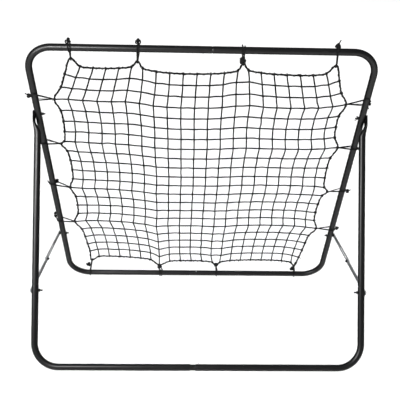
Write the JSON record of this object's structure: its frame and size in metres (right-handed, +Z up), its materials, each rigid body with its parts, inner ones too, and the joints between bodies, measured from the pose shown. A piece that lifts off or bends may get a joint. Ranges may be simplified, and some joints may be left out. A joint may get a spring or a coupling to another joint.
{
  "type": "soccer rebound net",
  "caption": "Free-standing ball rebounder: a square net tied with elastic cords in a round tube frame that leans on a folding U shaped leg frame, held open by sliding stays.",
  "frame": {"origin": "on the floor under the middle of the object's box, between the leg frame's floor bar and the net frame's floor bar", "axes": "+Z up; -Y is the front, where the leg frame stands, with the net behind it leaning up and forwards; +X to the right seen from the front"},
  "size_m": [1.2813, 0.7544, 1.1721],
  "materials": {
    "powder_coat": "satin",
    "zinc": "satin",
    "black_zinc": "satin",
    "net_cord": "matte",
    "edge_rope": "matte",
    "elastic": "matte"
  },
  "bodies": {
    "net_frame": {"net_frame_left": "powder_coat", "net_frame_right": "powder_coat", "top_bar_clip": "zinc", "rear_bar_clip": "zinc", "pivot_bolt_left": "black_zinc", "pivot_bolt_right": "black_zinc", "pivot_washer_left": "black_zinc", "pivot_washer_right": "black_zinc", "rear_stay_bolt_left": "black_zinc", "rear_stay_bolt_right": "black_zinc", "rear_stay_spacer_left": "black_zinc", "rear_stay_spacer_right": "black_zinc", "rear_stay_nut_left": "black_zinc", "rear_stay_nut_right": "black_zinc", "net": "net_cord", "border_rope": "edge_rope", "tie_top_1": "elastic", "tie_top_2": "elastic", "tie_top_3": "elastic", "tie_top_4": "elastic", "tie_right_1": "elastic", "tie_right_2": "elastic", "tie_right_3": "elastic", "tie_right_4": "elastic", "tie_bottom_1": "elastic", "tie_bottom_2": "elastic", "tie_bottom_3": "elastic", "tie_bottom_4": "elastic", "tie_left_1": "elastic", "tie_left_2": "elastic", "tie_left_3": "elastic", "tie_left_4": "elastic"},
    "leg_frame": {"upper_leg_left": "powder_coat", "upper_leg_right": "powder_coat", "lower_leg_left": "powder_coat", "lower_leg_right": "powder_coat", "floor_bar_clip": "zinc", "leg_bolt_left": "black_zinc", "leg_bolt_right": "black_zinc", "leg_nut_left": "black_zinc", "leg_nut_right": "black_zinc"},
    "rear_bar_left": {"rear_stay_bar_left": "zinc"},
    "front_bar_left": {"front_stay_bar_left": "zinc", "slide_bolt_left": "black_zinc", "slide_nut_left": "black_zinc"},
    "wing_nut_left": {"wing_nut_left": "black_zinc"},
    "rear_bar_right": {"rear_stay_bar_right": "zinc"},
    "front_bar_right": {"front_stay_bar_right": "zinc", "slide_bolt_right": "black_zinc", "slide_nut_right": "black_zinc"},
    "wing_nut_right": {"wing_nut_right": "black_zinc"},
    "top_button": {"top_bar_button": "zinc"},
    "rear_button": {"rear_bar_button": "zinc"},
    "floor_button": {"floor_bar_button": "zinc"}
  },
  "joints": [
    {"name": "fold", "type": "hinge", "parent": "net_frame", "child": "leg_frame", "pos_m": [0, -0.002, 0.88826], "axis": [1, 0, 0], "range_deg": [0, 12]},
    {"name": "rear_bar_swing_left", "type": "hinge", "parent": "net_frame", "child": "rear_bar_left", "pos_m": [-0.63125, 0.25134, 0.27665], "axis": [1, 0, 0], "range_deg": [0, 6]},
    {"name": "front_bar_swing_left", "type": "hinge", "parent": "leg_frame", "child": "front_bar_left", "pos_m": [-0.62825, -0.25534, 0.27665], "axis": [1, 0, 0], "range_deg": [-6, 0]},
    {"name": "wing_nut_turn_left", "type": "hinge", "parent": "net_frame", "child": "wing_nut_left", "pos_m": [-0.6125, -0.002, 0.88826], "axis": [-1, 0, 0], "continuous": true},
    {"name": "rear_bar_swing_right", "type": "hinge", "parent": "net_frame", "child": "rear_bar_right", "pos_m": [0.63125, 0.25134, 0.27665], "axis": [1, 0, 0], "range_deg": [0, 6]},
    {"name": "front_bar_swing_right", "type": "hinge", "parent": "leg_frame", "child": "front_bar_right", "pos_m": [0.62825, -0.25534, 0.27665], "axis": [1, 0, 0], "range_deg": [-6, 0]},
    {"name": "wing_nut_turn_right", "type": "hinge", "parent": "net_frame", "child": "wing_nut_right", "pos_m": [0.6125, -0.002, 0.88826], "axis": [1, 0, 0], "continuous": true},
    {"name": "top_button_press", "type": "slide", "parent": "net_frame", "child": "top_button", "axis": [0, -0.3827, 0.9239], "range_m": [0, 0.0036], "stiffness_N_per_m": 900, "springref_m": -0.004},
    {"name": "rear_button_press", "type": "slide", "parent": "net_frame", "child": "rear_button", "axis": [0, 0.3827, -0.9239], "range_m": [0, 0.0036], "stiffness_N_per_m": 900, "springref_m": -0.004},
    {"name": "floor_button_press", "type": "slide", "parent": "leg_frame", "child": "floor_button", "axis": [0, -0.3827, -0.9239], "range_m": [0, 0.0036], "stiffness_N_per_m": 900, "springref_m": -0.004}
  ],
  "couplings": [
    {"joint": "rear_bar_swing_left", "follows": "fold", "ratio": 0.5},
    {"joint": "front_bar_swing_left", "follows": "fold", "ratio": -0.5},
    {"joint": "rear_bar_swing_right", "follows": "fold", "ratio": 0.5},
    {"joint": "front_bar_swing_right", "follows": "fold", "ratio": -0.5}
  ]
}
